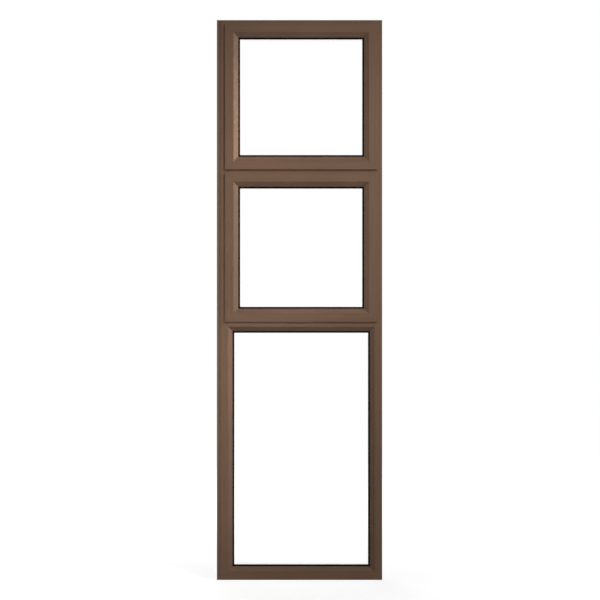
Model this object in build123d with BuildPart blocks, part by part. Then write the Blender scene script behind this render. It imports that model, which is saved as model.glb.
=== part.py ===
from build123d import *
import os

# Sidelight that stands beside a door frame: two top-hung vents above a fixed pane, all in hollow
# aluminium profiles with mitred corners, bevelled glazing beads and black gaskets.
# X runs across the front, +Y runs indoors, +Z is up. Lengths are in millimetres.
# The origin is the middle of the sill's underside, at half the frame's depth.

# Overall size, with the coupling strip
overall_width = 600.0
overall_height = 2032.0
coupling_width = 12.0

# Heights of the openings between the frame's flanges, the upper vent taking what is left
fixed_opening = 888.0
lower_vent_opening = 512.0

# Frame profile: a tube, an outside flange with a lip, and an inside stop
wall = 2.0
edge_radius = 0.6
frame_depth = 48.0
frame_tube = 18.0
flange = 10.0
lip_depth = 7.0
frame_reach = 16.0
sill_foot = 3.0
upper_transom_tube = 20.0
lower_transom_tube = 11.0

# The stop's tip and the gasket groove in it
stop_front = 40.0
tip_width = 6.0
groove_width = 2.4
groove_depth = 3.0
groove_inset = 1.8

# Vent profile: its flange laps over the frame's face
vent_depth = 46.0
vent_proud = 8.0
vent_flange = 15.0
vent_tube = 15.5
vent_reach = 17.0
vent_side_lap = 10.0
vent_end_lap = 13.0
lip_gap = 0.5
seal_rib = 1.0
seal_rib_depth = 2.0
seal_width = 4.0
seal_inset = 4.0

# Glazing, measured indoors from a member's face and in from its rebate's edge
bead_depth = 14.0
bead_nose = 2.0
bead_wall = 1.6
glass_line = 17.0
unit_depth = 20.0
pane_thickness = 4.0
glass_cover = 12.0
gasket_sight = 6.5
gasket_grip = 9.0
gasket_lip = 1.0
inner_sight = 2.0
spacer_inset = 1.0
spacer_width = 7.0
block_length = 80.0
mitre_gap = 0.04
tongue_clearance = 0.2

# Open joint down the front between the coupling strip and the jamb
joint_width = 3.0
joint_depth = 3.0

# Screw fixings through both jambs
fixing_radius = 4.0
fixing_end = 150.0
fixing_count = 4

# Handles on the vents' bottom rails
base_length = 120.0
base_width = 16.0
base_depth = 12.0
neck_radius = 7.0
neck_depth = 14.0
lever_length = 105.0
lever_end_radius = 5.5
lever_thickness = 9.0
handle_bevel = 2.0

face = -frame_depth / 2
frame_face_width = frame_tube + flange
frame_width = overall_width - coupling_width
lower_transom_face = lower_transom_tube + 2 * flange
upper_transom_face = upper_transom_tube + 2 * flange
sides = ("left", "top", "right", "bottom")


class Ring:
    """A rectangle of members: its edges in X and Z, and the place of its outside face in Y."""

    def __init__(self, left, right, bottom, top, front):
        self.left = left
        self.right = right
        self.bottom = bottom
        self.top = top
        self.front = front
        self.width = right - left
        self.height = top - bottom

    def inset(self, in_x, in_z, proud=0.0):
        """The ring that lies further in, or further out for a negative inset."""
        return Ring(
            self.left + in_x,
            self.right - in_x,
            self.bottom + in_z,
            self.top - in_z,
            self.front - proud,
        )


# The rings, from the frame's outline to the rebate of each vent
frame_ring = Ring(-frame_width / 2, frame_width / 2, sill_foot, overall_height, face)
rebate_ring = frame_ring.inset(frame_face_width, frame_face_width)
lower_transom_base = rebate_ring.bottom + fixed_opening
lower_vent_base = lower_transom_base + lower_transom_face
upper_transom_base = lower_vent_base + lower_vent_opening
upper_vent_base = upper_transom_base + upper_transom_face

fixed_ring = Ring(rebate_ring.left, rebate_ring.right, rebate_ring.bottom, lower_transom_base, face)
lower_hole = Ring(rebate_ring.left, rebate_ring.right, lower_vent_base, upper_transom_base, face)
upper_hole = Ring(rebate_ring.left, rebate_ring.right, upper_vent_base, rebate_ring.top, face)
vent_holes = {"lower": lower_hole, "upper": upper_hole}


def block(x, y, width, depth, mode=Mode.ADD):
    """A rectangle of a section, placed by its corner nearest the edge and the outside."""
    with Locations((x, y)):
        Rectangle(width, depth, align=(Align.MIN, Align.MIN), mode=mode)


def stop(side, reach, depth):
    """Inside leg that glass or a vent closes against, with a groove for its gasket."""
    tip = side + reach
    block(side, depth - wall, reach, wall)
    block(tip - tip_width, stop_front, tip_width, depth - stop_front)
    block(tip - groove_inset - groove_width, stop_front, groove_width, groove_depth, Mode.SUBTRACT)


def outside_flange(side):
    """Flange that a vent laps over or a bead sits against, with the lip along its edge."""
    block(side, 0, flange, wall)
    block(side + flange - wall, 0, wall, lip_depth)


def tube(x, width, depth):
    """Chamber of a hollow profile."""
    block(x + wall, wall, width - 2 * wall, depth - 2 * wall, Mode.SUBTRACT)


# Section of the head, sill and jambs: x runs in from the outer edge and y runs indoors
with BuildSketch() as frame_section:
    block(0, 0, frame_tube, frame_depth)
    outside_flange(frame_tube)
    stop(frame_tube, flange + frame_reach, frame_depth)
    tube(0, frame_tube, frame_depth)
    fillet(frame_section.vertices().group_by(Axis.Y)[0], edge_radius)

# Section of a vent's rails and stiles, with ribs that hold its weather seal
with BuildSketch() as vent_section:
    block(0, 0, vent_flange + vent_tube, wall)
    block(0, 0, wall, vent_proud - lip_gap)
    block(seal_inset - seal_rib, 0, seal_rib, wall + seal_rib_depth)
    block(seal_inset + seal_width, 0, seal_rib, wall + seal_rib_depth)
    block(vent_flange, 0, vent_tube, vent_depth)
    stop(vent_flange + vent_tube, vent_reach, vent_depth)
    tube(vent_flange, vent_tube, vent_depth)
    fillet(vent_section.vertices().group_by(Axis.Y)[0], edge_radius)


def transom_sections(width):
    """Tube, flanges and stops of a transom, each with how far it ends from the frame's outer edge."""
    with BuildSketch() as middle:
        block(-width / 2, 0, width, frame_depth)
        tube(-width / 2, width, frame_depth)
    with BuildSketch() as flanges:
        outside_flange(width / 2)
        mirror(about=Plane.YZ)
    with BuildSketch() as stops:
        stop(width / 2, flange + frame_reach, frame_depth)
        mirror(about=Plane.YZ)
    return (
        (middle.sketch, frame_tube),
        (flanges.sketch, frame_face_width),
        (stops.sketch, frame_face_width + frame_reach),
    )


def bead_section(reach, leg):
    """Hollow bevelled bead: x runs in from the rebate's edge, and the leg runs back under the flange."""
    with BuildSketch() as section:
        with BuildLine():
            Polyline(
                (0, 0),
                (reach, bead_depth - bead_nose),
                (reach, bead_depth),
                (0, bead_depth),
                close=True,
            )
        make_face()
        chamber = offset(amount=-bead_wall, kind=Kind.INTERSECTION, mode=Mode.PRIVATE)
        add(chamber, mode=Mode.SUBTRACT)
        if leg:
            block(-leg, bead_depth - bead_wall, leg, bead_wall)
    return section.sketch


def outer_gasket_section(reach):
    """Gasket between bead and glass, with a lip that slopes up against the bead's nose."""
    with BuildSketch() as section:
        with BuildLine():
            Polyline(
                (reach - gasket_grip, bead_depth),
                (reach, bead_depth),
                (reach, bead_depth - gasket_lip),
                (reach + gasket_sight, glass_line - gasket_lip),
                (reach + gasket_sight, glass_line),
                (reach - gasket_grip, glass_line),
                close=True,
            )
        make_face()
    return section.sketch


def tongued_seal(low, high, front, tip):
    """Seal that bears on the stop's front, with a tongue in the stop's groove."""
    with BuildSketch() as section:
        block(low, front, high - low, stop_front - front)
        block(
            tip - groove_inset - groove_width + tongue_clearance,
            stop_front,
            groove_width - 2 * tongue_clearance,
            groove_depth - tongue_clearance,
        )
    return section.sketch


def spacer_section(reach):
    """Bar that holds the two panes of a unit apart."""
    with BuildSketch() as section:
        block(
            reach - glass_cover + spacer_inset,
            glass_line + pane_thickness,
            spacer_width,
            unit_depth - 2 * pane_thickness,
        )
    return section.sketch


def weather_seal_section():
    """Seal between a vent's flange and the frame's face."""
    with BuildSketch() as section:
        block(seal_inset, wall, seal_width, vent_proud - wall)
    return section.sketch


def member(section, ring, side, gap=0.0):
    """One side of a ring: its section run along the edge, with both ends mitred."""
    starts = {
        "left": Plane(origin=(ring.left, ring.front, ring.bottom), x_dir=(1, 0, 0), z_dir=(0, 0, 1)),
        "top": Plane(origin=(ring.left, ring.front, ring.top), x_dir=(0, 0, -1), z_dir=(1, 0, 0)),
        "right": Plane(origin=(ring.right, ring.front, ring.top), x_dir=(-1, 0, 0), z_dir=(0, 0, -1)),
        "bottom": Plane(origin=(ring.right, ring.front, ring.bottom), x_dir=(0, 0, 1), z_dir=(-1, 0, 0)),
    }
    start = starts[side]
    inward = start.x_dir
    along = start.z_dir
    length = ring.height if side in ("left", "right") else ring.width
    with BuildPart() as run:
        with BuildSketch(start.offset(-frame_face_width)):
            add(section)
        extrude(amount=length + 2 * frame_face_width)
        split(bisect_by=Plane(origin=start.origin + along * gap, z_dir=along - inward))
        split(bisect_by=Plane(origin=start.origin + along * (length - gap), z_dir=-along - inward))
    return run.part


def runs(section, ring):
    """The four sides of a ring in one piece list, a hairline apart at the mitres."""
    return [member(section, ring, side, mitre_gap) for side in sides]


def facing_out(y):
    """The plane that faces outdoors at a given depth."""
    return Plane.XZ.offset(-y)


def save(piece, name):
    """Label a finished piece and write it."""
    piece.part.label = name
    export_step(piece.part, f"parts/{name}.step")


os.makedirs("parts", exist_ok=True)
fixing_pitch = (overall_height - 2 * fixing_end) / (fixing_count - 1)
fixing_heights = [fixing_end + index * fixing_pitch for index in range(fixing_count)]

# Head
with BuildPart() as frame_head:
    add(member(frame_section.sketch, frame_ring, "top"))
save(frame_head, "frame_head")

# Sill, with the foot that lifts its mitres off the floor
with BuildPart() as frame_sill:
    add(member(frame_section.sketch, frame_ring, "bottom"))
    with BuildSketch(Plane.XY):
        Rectangle(frame_width, frame_depth)
    extrude(amount=sill_foot)
save(frame_sill, "frame_sill")

# Jambs, each drilled for its wall or door-frame fixings
jambs = {}
for side in ("left", "right"):
    with BuildPart() as jamb:
        add(member(frame_section.sketch, frame_ring, side))
        with BuildSketch(Plane.YZ):
            with Locations([(0, height) for height in fixing_heights]):
                Circle(fixing_radius)
        extrude(amount=frame_width / 2 if side == "right" else -frame_width / 2, mode=Mode.SUBTRACT)
    jambs[side] = jamb.part
    save(jamb, f"frame_jamb_{side}")

# Transoms, their ends scribed to the jambs
transoms = {
    "lower": (lower_transom_tube, lower_transom_base + lower_transom_face / 2),
    "upper": (upper_transom_tube, upper_transom_base + upper_transom_face / 2),
}
for name, (width, height) in transoms.items():
    with BuildPart() as transom:
        for section, cutback in transom_sections(width):
            end = (frame_width / 2 - cutback, face, height)
            with BuildSketch(Plane(origin=end, x_dir=(0, 0, 1), z_dir=(-1, 0, 0))):
                add(section)
            extrude(amount=frame_width - 2 * cutback)
        add(jambs["left"], mode=Mode.SUBTRACT)
        add(jambs["right"], mode=Mode.SUBTRACT)
    save(transom, f"transom_{name}")

# Strip that joins the sidelight to the door frame on its left, stepped back beside the jamb
with BuildPart() as coupling_strip:
    with BuildSketch(Plane.XY) as strip_section:
        with Locations((frame_ring.left, face)):
            Rectangle(coupling_width, frame_depth, align=(Align.MAX, Align.MIN))
            Rectangle(joint_width, joint_depth, align=(Align.MAX, Align.MIN), mode=Mode.SUBTRACT)
        chamber = offset(amount=-wall, kind=Kind.INTERSECTION, mode=Mode.PRIVATE)
        fillet(strip_section.vertices().group_by(Axis.Y)[0], edge_radius)
        add(chamber, mode=Mode.SUBTRACT)
    extrude(amount=overall_height)
    with BuildSketch(Plane.YZ.offset(frame_ring.left)):
        with Locations([(0, height) for height in fixing_heights]):
            Circle(fixing_radius)
    extrude(amount=-coupling_width, mode=Mode.SUBTRACT)
save(coupling_strip, "coupling_strip")


def glazing(name, ring, reach, leg, posts=()):
    """Bead, gaskets, spacer, glass and setting blocks of one pane, nicked where they cross the posts."""
    sets = {
        f"bead_{name}": bead_section(reach, leg),
        f"outer_gasket_{name}": outer_gasket_section(reach),
        f"inner_gasket_{name}": tongued_seal(
            reach - gasket_grip,
            reach + inner_sight,
            glass_line + unit_depth,
            reach,
        ),
        f"spacer_{name}": spacer_section(reach),
    }
    for label, section in sets.items():
        pieces = runs(section, ring)
        with BuildPart() as run_set:
            add(pieces)
            for post in posts:
                add(post, mode=Mode.SUBTRACT)
        save(run_set, label)

    edge = reach - glass_cover
    middle = ((ring.left + ring.right) / 2, (ring.bottom + ring.top) / 2)
    with BuildPart() as glass:
        for front in (glass_line, glass_line + unit_depth - pane_thickness):
            with BuildSketch(facing_out(ring.front + front)):
                with Locations(middle):
                    Rectangle(ring.width - 2 * edge, ring.height - 2 * edge)
            extrude(amount=-pane_thickness)
    save(glass, f"glass_{name}")

    with BuildPart() as setting_blocks:
        with BuildSketch(facing_out(ring.front + glass_line)):
            with Locations((middle[0] - ring.width / 4, ring.bottom), (middle[0] + ring.width / 4, ring.bottom)):
                with Locations((0, -leg)):
                    Rectangle(block_length, edge + leg, align=(Align.CENTER, Align.MIN))
        extrude(amount=-unit_depth)
    save(setting_blocks, f"setting_blocks_{name}")


def handle(name, middle, height, seat):
    """Rosette and lever on the inside of a vent's bottom rail."""
    with BuildPart() as base:
        with BuildSketch(facing_out(seat)):
            with Locations((middle, height)):
                SlotOverall(base_length, base_width)
        extrude(amount=-base_depth)
        chamfer(base.faces().sort_by(Axis.Y)[-1].edges(), handle_bevel)
    save(base, f"handle_base_{name}")

    with BuildPart() as lever:
        with BuildSketch(facing_out(seat + base_depth)):
            with Locations((middle, height)):
                Circle(neck_radius)
        extrude(amount=-neck_depth)
        with BuildSketch(facing_out(seat + base_depth + neck_depth)):
            with Locations((middle, height)):
                Circle(neck_radius)
            with Locations((middle + lever_length, height)):
                Circle(lever_end_radius)
            make_hull()
        extrude(amount=-lever_thickness)
        chamfer(lever.faces().sort_by(Axis.Y)[-1].edges(), handle_bevel)
    save(lever, f"handle_lever_{name}")


# Fixed pane, glazed straight into the frame
glazing("fixed", fixed_ring, frame_reach, flange, jambs.values())

# Vents
member_names = {"left": "left_stile", "right": "right_stile", "top": "top_rail", "bottom": "bottom_rail"}
for name, hole in vent_holes.items():
    vent_ring = hole.inset(-vent_side_lap, -vent_end_lap, vent_proud)
    for side in sides:
        with BuildPart() as vent_member:
            add(member(vent_section.sketch, vent_ring, side))
        save(vent_member, f"vent_{name}_{member_names[side]}")

    weather_runs = runs(weather_seal_section(), vent_ring)
    stop_runs = runs(
        tongued_seal(
            frame_reach - tip_width,
            frame_reach,
            vent_depth - vent_proud,
            frame_reach,
        ),
        hole,
    )
    with BuildPart() as seals:
        add(weather_runs)
        add(stop_runs)
        for post in jambs.values():
            add(post, mode=Mode.SUBTRACT)
    save(seals, f"vent_seals_{name}")

    vent_width = vent_flange + vent_tube
    glazing(name, vent_ring.inset(vent_width, vent_width), vent_reach, 0)
    handle(
        name,
        (vent_ring.left + vent_ring.right) / 2,
        vent_ring.bottom + vent_width + vent_reach - base_width / 2,
        vent_ring.front + vent_depth,
    )
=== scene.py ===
import math

import bmesh
import bpy
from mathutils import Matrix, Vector


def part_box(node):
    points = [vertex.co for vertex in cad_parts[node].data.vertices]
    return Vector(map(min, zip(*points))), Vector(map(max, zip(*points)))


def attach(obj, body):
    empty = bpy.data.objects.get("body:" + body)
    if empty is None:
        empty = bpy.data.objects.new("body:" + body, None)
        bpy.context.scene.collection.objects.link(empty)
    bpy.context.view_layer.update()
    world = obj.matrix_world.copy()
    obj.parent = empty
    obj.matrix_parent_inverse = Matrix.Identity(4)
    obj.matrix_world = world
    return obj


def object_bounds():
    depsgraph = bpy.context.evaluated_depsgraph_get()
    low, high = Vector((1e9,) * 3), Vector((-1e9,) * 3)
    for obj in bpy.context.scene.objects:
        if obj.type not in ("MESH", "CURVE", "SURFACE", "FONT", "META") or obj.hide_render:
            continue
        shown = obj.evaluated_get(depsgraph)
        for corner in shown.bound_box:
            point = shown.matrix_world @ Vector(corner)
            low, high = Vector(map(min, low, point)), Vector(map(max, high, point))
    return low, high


# The looks of the sidelight: materials, camera, studio and the handles' screws. Lengths are in metres.
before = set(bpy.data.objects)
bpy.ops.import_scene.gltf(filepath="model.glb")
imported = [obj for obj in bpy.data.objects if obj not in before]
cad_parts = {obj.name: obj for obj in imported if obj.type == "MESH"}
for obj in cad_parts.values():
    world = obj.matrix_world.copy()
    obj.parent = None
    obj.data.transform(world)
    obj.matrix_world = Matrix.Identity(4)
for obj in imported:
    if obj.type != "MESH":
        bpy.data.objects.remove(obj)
cad_low, cad_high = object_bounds()

vent_names = ("lower", "upper")
pane_names = ("fixed", "lower", "upper")
axis_x = 0
axis_z = 2
mm_per_m = 1000.0
pure_white = (1.0, 1.0, 1.0, 1.0)

# Where the photograph shows the object, in pixels of its 600 x 600 frame
photo_side_px = 600.0
outline_left_px = 216.86
outline_top_px = 20.08
outline_bottom_px = 579.92


# Shader nodes


def new_tree(owner):
    """Emptied node tree of a material or world."""
    owner.use_nodes = True
    owner.node_tree.nodes.clear()
    return owner.node_tree


def put(tree, socket, value):
    """Set a socket to a value, or link an output to it."""
    if isinstance(value, bpy.types.NodeSocket):
        tree.links.new(value, socket)
    else:
        socket.default_value = value


def add_node(tree, kind, **values):
    """Shader node with its inputs set by name: a value is set, and another node's output is linked."""
    made = tree.nodes.new(kind)
    for name, value in values.items():
        put(tree, made.inputs[name.replace("_", " ")], value)
    return made


def calculate(tree, kind, operation, *values):
    """Number that a Math or Vector Math node makes of its inputs."""
    made = tree.nodes.new(kind)
    made.operation = operation
    for socket, value in zip(made.inputs, values):
        put(tree, socket, value)
    return made.outputs["Value"]


def own_place(tree):
    """Coordinates that stay with the object."""
    return tree.nodes.new("ShaderNodeTexCoord").outputs["Object"]


def noise(tree, place, scale, detail, roughness):
    """Noise of a given scale, in waves for each metre, or of one scale for each axis."""
    if isinstance(scale, tuple):
        place = add_node(tree, "ShaderNodeMapping", Vector=place, Scale=scale).outputs["Vector"]
        scale = 1.0
    return add_node(
        tree,
        "ShaderNodeTexNoise",
        Vector=place,
        Scale=scale,
        Detail=detail,
        Roughness=roughness,
    ).outputs["Fac"]


def ramp(tree, value, span, result=(0.0, 1.0)):
    """Map a value from one span to another, held at the ends."""
    made = add_node(
        tree,
        "ShaderNodeMapRange",
        Value=value,
        From_Min=span[0],
        From_Max=span[1],
        To_Min=result[0],
        To_Max=result[1],
    )
    return made.outputs["Result"]


def blend_colours(tree, factor, first, second):
    """Colour between two colours. The node has sockets of one name for each type, so they go by number."""
    factor_socket, first_socket, second_socket, result_socket = 0, 6, 7, 2
    made = tree.nodes.new("ShaderNodeMix")
    made.data_type = "RGBA"
    put(tree, made.inputs[factor_socket], factor)
    put(tree, made.inputs[first_socket], first)
    put(tree, made.inputs[second_socket], second)
    return made.outputs[result_socket]


def bump(tree, height, depth, strength, normal=None):
    """Normal with relief of a given depth, on top of another normal."""
    made = add_node(tree, "ShaderNodeBump", Height=height, Distance=depth, Strength=strength)
    if normal is not None:
        put(tree, made.inputs["Normal"], normal)
    return made.outputs["Normal"]


def new_material(name):
    """Material with a Principled shader wired to its output."""
    material = bpy.data.materials.new(name)
    tree = new_tree(material)
    shader = tree.nodes.new("ShaderNodeBsdfPrincipled")
    add_node(tree, "ShaderNodeOutputMaterial", Surface=shader.outputs["BSDF"])
    return material, tree, shader


# Materials, in linear colours. A grain is a noise's scale, detail and roughness.

coat_dark = (0.150, 0.0874, 0.0550, 1.0)
coat_light = (0.176, 0.1031, 0.0665, 1.0)
coat_worn = (0.225, 0.1390, 0.0940, 1.0)
coat_metal_share = 0.30
coat_specular = 0.20
coat_roughness = (0.42, 0.50)
cloud_grain = (5.0, 4.0, 0.6)
streak_across, streak_along = 130.0, 2.2
streak_share = 0.6
tone_span = (0.36, 0.64)
speck_grain = (1400.0, 2.0, 0.6)
speck_span = (0.62, 0.80)
speck_share = (0.0, 0.22)
scuff_grain = (160.0, 5.0, 0.7)
scuff_span = (0.35, 0.65)
scuff_share = (0.12, 0.34)
shine_grain = (38.0, 4.0, 0.65)
shine_span = (0.30, 0.70)
peel_grain = (900.0, 2.0, 0.55)
peel_depth, peel_strength = 0.00004, 0.40
line_across, line_along = 620.0, 9.0
line_depth, line_strength = 0.00003, 0.35
edge_rounding = 0.0007
edge_samples = 6
edge_span = (0.80, 0.985)


def along_bar(bar_axis, across, along):
    """Scale for each axis of a noise that is drawn out along a bar."""
    return tuple(along if axis == bar_axis else across for axis in range(3))


def bronze_coat(name, bar_axis=None):
    """Satin powder coat: fine orange peel, faint die lines along the bar, and lighter rubbed edges."""
    material, tree, shader = new_material(name)
    place = own_place(tree)

    rounded = add_node(tree, "ShaderNodeBevel", Radius=edge_rounding)
    rounded.samples = edge_samples
    soft_normal = rounded.outputs["Normal"]
    plain_normal = tree.nodes.new("ShaderNodeNewGeometry").outputs["Normal"]
    turn = calculate(tree, "ShaderNodeVectorMath", "DOT_PRODUCT", soft_normal, plain_normal)
    edge = ramp(tree, turn, edge_span, (1.0, 0.0))

    tone = noise(tree, place, *cloud_grain)
    if bar_axis is not None:
        streak = noise(tree, place, along_bar(bar_axis, streak_across, streak_along), 3.0, 0.6)
        tone = add_node(tree, "ShaderNodeMix", Factor=streak_share, A=tone, B=streak).outputs["Result"]
    colour = blend_colours(tree, ramp(tree, tone, tone_span), coat_dark, coat_light)
    speck = ramp(tree, noise(tree, place, *speck_grain), speck_span, speck_share)
    colour = blend_colours(tree, speck, colour, coat_worn)
    scuff = ramp(tree, noise(tree, place, *scuff_grain), scuff_span, scuff_share)
    worn = calculate(tree, "ShaderNodeMath", "MULTIPLY", edge, scuff)
    put(tree, shader.inputs["Base Color"], blend_colours(tree, worn, colour, coat_worn))

    shine = noise(tree, place, *shine_grain)
    put(tree, shader.inputs["Roughness"], ramp(tree, shine, shine_span, coat_roughness))
    put(tree, shader.inputs["Metallic"], coat_metal_share)
    put(tree, shader.inputs["Specular IOR Level"], coat_specular)

    normal = bump(tree, noise(tree, place, *peel_grain), peel_depth, peel_strength, soft_normal)
    if bar_axis is not None:
        lines = noise(tree, place, along_bar(bar_axis, line_across, line_along), 2.0, 0.5)
        normal = bump(tree, lines, line_depth, line_strength, normal)
    put(tree, shader.inputs["Normal"], normal)
    return material


rubber_dark = (0.0032, 0.0024, 0.0019, 1.0)
rubber_dusty = (0.0068, 0.0052, 0.0042, 1.0)
rubber_specular = 0.06
rubber_roughness = (0.62, 0.80)
bloom_grain = (70.0, 4.0, 0.6)
bloom_span = (0.35, 0.75)
bloom_shine_span = (0.30, 0.70)
skin_grain = (1500.0, 2.0, 0.5)
skin_depth, skin_strength = 0.00005, 0.5


def black_rubber(name):
    """Gasket rubber: nearly black, matt, with a dusty bloom and a fine skin."""
    material, tree, shader = new_material(name)
    place = own_place(tree)
    bloom = noise(tree, place, *bloom_grain)
    colour = blend_colours(tree, ramp(tree, bloom, bloom_span), rubber_dark, rubber_dusty)
    put(tree, shader.inputs["Base Color"], colour)
    put(tree, shader.inputs["Roughness"], ramp(tree, bloom, bloom_shine_span, rubber_roughness))
    put(tree, shader.inputs["Specular IOR Level"], rubber_specular)
    skin = noise(tree, place, *skin_grain)
    put(tree, shader.inputs["Normal"], bump(tree, skin, skin_depth, skin_strength))
    return material


glass_ior = 1.50
film_grain = (12.0, 3.0, 0.6)
film_span = (0.35, 0.75)
film_roughness = (0.0, 0.004)
wave_grain = (3.0, 1.0, 0.4)
wave_depth, wave_strength = 0.00003, 0.3


def clear_glass(name):
    """Float glass: clear, with a faint waviness and a trace of dust in its roughness."""
    material, tree, shader = new_material(name)
    place = own_place(tree)
    put(tree, shader.inputs["Base Color"], pure_white)
    put(tree, shader.inputs["Transmission Weight"], 1.0)
    put(tree, shader.inputs["IOR"], glass_ior)
    film = noise(tree, place, *film_grain)
    put(tree, shader.inputs["Roughness"], ramp(tree, film, film_span, film_roughness))
    wave = noise(tree, place, *wave_grain)
    put(tree, shader.inputs["Normal"], bump(tree, wave, wave_depth, wave_strength))
    return material


grain_span = (0.3, 0.7)


def grained(name, grain, dark, light, roughness, depth, strength, metallic=0.0):
    """Material whose colour, roughness and relief all follow one grain."""
    material, tree, shader = new_material(name)
    value = noise(tree, own_place(tree), *grain)
    put(tree, shader.inputs["Metallic"], metallic)
    put(tree, shader.inputs["Base Color"], blend_colours(tree, ramp(tree, value, grain_span), dark, light))
    put(tree, shader.inputs["Roughness"], ramp(tree, value, grain_span, roughness))
    put(tree, shader.inputs["Normal"], bump(tree, value, depth, strength))
    return material


coat_upright = bronze_coat("coat_upright", axis_z)
coat_level = bronze_coat("coat_level", axis_x)
coat_plain = bronze_coat("coat_plain")
rubber = black_rubber("gasket_rubber")
glass = clear_glass("float_glass")

# Bare spacer bar: dull metal with rolling marks
spacer_metal = grained(
    "spacer_metal",
    grain=(900.0, 3.0, 0.6),
    dark=(0.42, 0.42, 0.43, 1.0),
    light=(0.58, 0.58, 0.59, 1.0),
    roughness=(0.36, 0.52),
    depth=0.00003,
    strength=0.4,
    metallic=1.0,
)

# Setting blocks: dark moulded plastic with a fine spark texture
block_plastic = grained(
    "block_plastic",
    grain=(1100.0, 3.0, 0.6),
    dark=(0.030, 0.030, 0.034, 1.0),
    light=(0.048, 0.048, 0.053, 1.0),
    roughness=(0.50, 0.62),
    depth=0.00006,
    strength=0.5,
)

# Screws: bright zinc with small scratches
screw_steel = grained(
    "screw_steel",
    grain=((1500.0, 1500.0, 300.0), 4.0, 0.7),
    dark=(0.44, 0.42, 0.38, 1.0),
    light=(0.62, 0.60, 0.55, 1.0),
    roughness=(0.24, 0.42),
    depth=0.00002,
    strength=0.4,
    metallic=1.0,
)


def dress(material, *names):
    """Give CAD nodes a material."""
    for name in names:
        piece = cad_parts[name]
        if not piece.material_slots:
            piece.data.materials.append(material)
        for slot in piece.material_slots:
            slot.material = material


dress(coat_upright, "frame_jamb_left", "frame_jamb_right", "coupling_strip")
dress(coat_level, "frame_head", "frame_sill", "transom_lower", "transom_upper")
for vent in vent_names:
    dress(coat_upright, f"vent_{vent}_left_stile", f"vent_{vent}_right_stile")
    dress(coat_level, f"vent_{vent}_top_rail", f"vent_{vent}_bottom_rail")
    dress(coat_plain, f"handle_base_{vent}", f"handle_lever_{vent}")
    dress(rubber, f"vent_seals_{vent}")
for pane in pane_names:
    dress(coat_plain, f"bead_{pane}")
    dress(rubber, f"outer_gasket_{pane}", f"inner_gasket_{pane}")
    dress(glass, f"glass_{pane}")
    dress(spacer_metal, f"spacer_{pane}")
    dress(block_plastic, f"setting_blocks_{pane}")


# Camera, level with the photograph's middle and placed so that the outline falls where it does there

camera_distance = 4.76
sensor_width = 0.036
level_pitch = math.radians(90.0)

metres_per_px = (cad_high.z - cad_low.z) / (outline_bottom_px - outline_top_px)
frame_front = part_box("frame_sill")[0].y
centre_px = photo_side_px / 2
half_view = centre_px * metres_per_px
camera_data = bpy.data.cameras.new("camera")
camera_data.sensor_width = sensor_width * mm_per_m
camera_data.lens = camera_data.sensor_width / 2 * camera_distance / half_view
camera = bpy.data.objects.new("camera", camera_data)
camera.location = (
    cad_low.x + (centre_px - outline_left_px) * metres_per_px,
    frame_front - camera_distance,
    cad_low.z + (outline_bottom_px - centre_px) * metres_per_px,
)
camera.rotation_euler = (level_pitch, 0.0, 0.0)
bpy.context.collection.objects.link(camera)
bpy.context.scene.camera = camera


# Studio

room_tint = (1.0, 0.99, 0.97, 1.0)
room_light = 0.02
floor_side = 14.0
floor_drop = 0.0005
floor_grey = (0.33, 0.33, 0.33, 1.0)
# Floor glow far off, and a lower glow near the object that paints shade around its foot
glow_near, glow_far = 0.85, 1.0
shadow_span = (0.35, 1.3)


def background_share(tree):
    """1 for rays that look straight at a surface, in a mirror or through glass."""
    rays = tree.nodes.new("ShaderNodeLightPath").outputs
    share = rays["Is Camera Ray"]
    for name in ("Is Glossy Ray", "Is Transmission Ray"):
        share = calculate(tree, "ShaderNodeMath", "MAXIMUM", share, rays[name])
    return share


def studio_world():
    """Plain soft light from all round, seen as white."""
    world = bpy.data.worlds.new("studio")
    bpy.context.scene.world = world
    tree = new_tree(world)
    light = add_node(tree, "ShaderNodeBackground", Color=room_tint, Strength=room_light)
    seen = add_node(tree, "ShaderNodeBackground", Color=pure_white, Strength=1.0)
    mixed = tree.nodes.new("ShaderNodeMixShader")
    for socket, value in zip(mixed.inputs, (background_share(tree), light.outputs[0], seen.outputs[0])):
        put(tree, socket, value)
    add_node(tree, "ShaderNodeOutputWorld", Surface=mixed.outputs[0])


def studio_floor():
    """Plain pale floor that shows white, with painted shade near the object where its glow is dimmed, so
    that the faint shadow the object casts is kept.
    """
    mesh = bpy.data.meshes.new("floor")
    half = floor_side / 2
    corners = [(-half, -half), (half, -half), (half, half), (-half, half)]
    height = cad_low.z - floor_drop
    mesh.from_pydata([(x, y, height) for x, y in corners], [], [(0, 1, 2, 3)])
    floor = bpy.data.objects.new("floor", mesh)
    bpy.context.collection.objects.link(floor)

    material = bpy.data.materials.new("floor")
    tree = new_tree(material)
    matt = add_node(tree, "ShaderNodeBsdfDiffuse", Color=floor_grey)
    reach = calculate(tree, "ShaderNodeVectorMath", "LENGTH", own_place(tree))
    # Painted shade: the glow falls from glow_far to glow_near towards the object's foot
    glow = ramp(tree, reach, shadow_span, (glow_near, glow_far))
    shown = calculate(tree, "ShaderNodeMath", "MULTIPLY", background_share(tree), glow)
    emission = add_node(tree, "ShaderNodeEmission", Color=pure_white, Strength=shown)
    both = tree.nodes.new("ShaderNodeAddShader")
    for socket, value in zip(both.inputs, (matt.outputs[0], emission.outputs[0])):
        put(tree, socket, value)
    add_node(tree, "ShaderNodeOutputMaterial", Surface=both.outputs[0])
    mesh.materials.append(material)


def hang_lamp(data, place, aim):
    """Put a lamp at a place, turned to an aim, and keep it out of sight behind the glass."""
    lamp = bpy.data.objects.new(data.name, data)
    bpy.context.collection.objects.link(lamp)
    lamp.location = place
    lamp.rotation_euler = (Vector(aim) - Vector(place)).to_track_quat("-Z", "Y").to_euler()
    lamp.visible_camera = False
    lamp.visible_transmission = False


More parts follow.
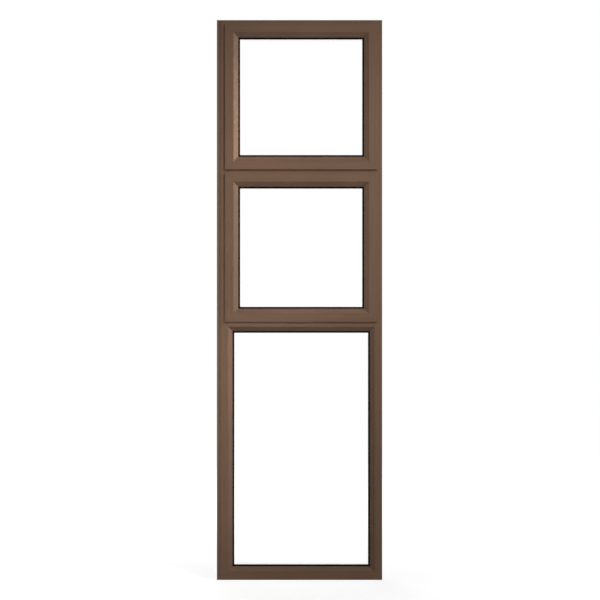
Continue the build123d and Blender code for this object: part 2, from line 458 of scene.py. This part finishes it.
def area_lamp(name, place, aim, size, power):
    """Soft rectangular lamp, with its size in metres and its power in watts."""
    data = bpy.data.lights.new(name, "AREA")
    data.shape = "RECTANGLE"
    data.size, data.size_y = size
    data.energy = power
    hang_lamp(data, place, aim)


def soft_spot(name, place, aim, radius, cone, power, colour=(1.0, 1.0, 1.0)):
    """Spot lamp with a wide soft edge, with its cone in degrees and its power in watts."""
    data = bpy.data.lights.new(name, "SPOT")
    data.color = colour
    data.shadow_soft_size = radius
    data.spot_size = math.radians(cone)
    data.spot_blend = 1.0
    data.energy = power
    hang_lamp(data, place, aim)


studio_world()
studio_floor()
soft_spot("key", place=(2.6, -3.6, 4.2), aim=(-0.4, 0.0, 1.08), radius=0.20, cone=22.0, power=826.0)
soft_spot("front", place=(-0.9, -4.6, 1.6), aim=(-0.25, 0.0, 1.05), radius=0.25, cone=16.0, power=40.0)
soft_spot("front_low", place=(-0.9, -4.6, 0.9), aim=(-0.35, 0.0, 0.36), radius=0.25, cone=20.0, power=84.0)
soft_spot("front_right", place=(1.3, -4.2, 2.6), aim=(-0.15, 0.0, 1.35), radius=0.20, cone=24.0, power=18.0)
soft_spot(
    "glint",
    place=(2.5, -1.15, 2.1),
    aim=(-0.24, 0.0, 1.64),
    radius=0.10,
    cone=9.0,
    power=80.0,
    colour=(1.0, 0.82, 0.62),
)
area_lamp("side", place=(2.5, -1.15, 2.10), aim=(-0.2, 0.0, 1.7), size=(0.30, 0.35), power=17.5)
area_lamp("side_low", place=(2.2, -1.0, 0.7), aim=(-0.2, 0.0, 0.6), size=(0.35, 1.2), power=11.5)
area_lamp("left", place=(-2.5, -1.0, 1.6), aim=(0.2, 0.0, 1.5), size=(0.5, 0.6), power=7.0)
area_lamp("back", place=(-0.9, 2.6, 1.9), aim=(0.0, 0.0, 1.0), size=(1.6, 1.6), power=40.0)


# Screws of the handles' rosettes

screw_radius = 0.0030
screw_dome = 0.0011
screw_sunk = 0.0004
screw_inset = 0.008
cross_reach = 0.0017
cross_half_width = 0.00045
cross_depth = 0.0008
cross_steepness = 4
screw_rings = 14
screw_spokes = 48


def screw_height(x, z):
    """Height of an oval head with a cross recess."""
    dome = screw_dome * (1.0 - (math.hypot(x, z) / screw_radius) ** 2)
    reach = min(max(abs(x), abs(z)) / cross_reach, 1.0)
    narrow = min(min(abs(x), abs(z)) / cross_half_width, 1.0)
    return dome - cross_depth * (1.0 - reach**cross_steepness) * (1.0 - narrow**cross_steepness)


def band(made, inner, outer):
    """Faces between two rings of points."""
    for spoke in range(screw_spokes):
        after = (spoke + 1) % screw_spokes
        made.faces.new((inner[spoke], inner[after], outer[after], outer[spoke]))


def screw_head(name, place):
    """Oval-head screw on a rosette's inside face, with its axis along Y."""
    made = bmesh.new()
    middle = made.verts.new((0.0, screw_height(0.0, 0.0), 0.0))
    rings = []
    for ring in range(1, screw_rings + 1):
        radius = screw_radius * ring / screw_rings
        verts = []
        for spoke in range(screw_spokes):
            turn = 2.0 * math.pi * spoke / screw_spokes
            x, z = radius * math.cos(turn), radius * math.sin(turn)
            verts.append(made.verts.new((x, screw_height(x, z), z)))
        rings.append(verts)
    skirt = [made.verts.new((vert.co.x, -screw_sunk, vert.co.z)) for vert in rings[-1]]
    for spoke in range(screw_spokes):
        made.faces.new((middle, rings[0][(spoke + 1) % screw_spokes], rings[0][spoke]))
    for inner, outer in zip(rings, rings[1:] + [skirt]):
        band(made, inner, outer)
    made.faces.new(skirt)
    bmesh.ops.recalc_face_normals(made, faces=made.faces)
    mesh = bpy.data.meshes.new(name)
    made.to_mesh(mesh)
    made.free()
    for face in mesh.polygons:
        face.use_smooth = True
    mesh.materials.append(screw_steel)
    piece = bpy.data.objects.new(name, mesh)
    piece.location = place
    bpy.context.collection.objects.link(piece)
    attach(piece, "root")


for vent in vent_names:
    low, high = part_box(f"handle_base_{vent}")
    height = (low.z + high.z) / 2
    for side, place_x in (("left", low.x + screw_inset), ("right", high.x - screw_inset)):
        screw_head(f"rosette_screw_{vent}_{side}", (place_x, high.y, height))

bpy.context.scene.view_settings.view_transform = "Standard"
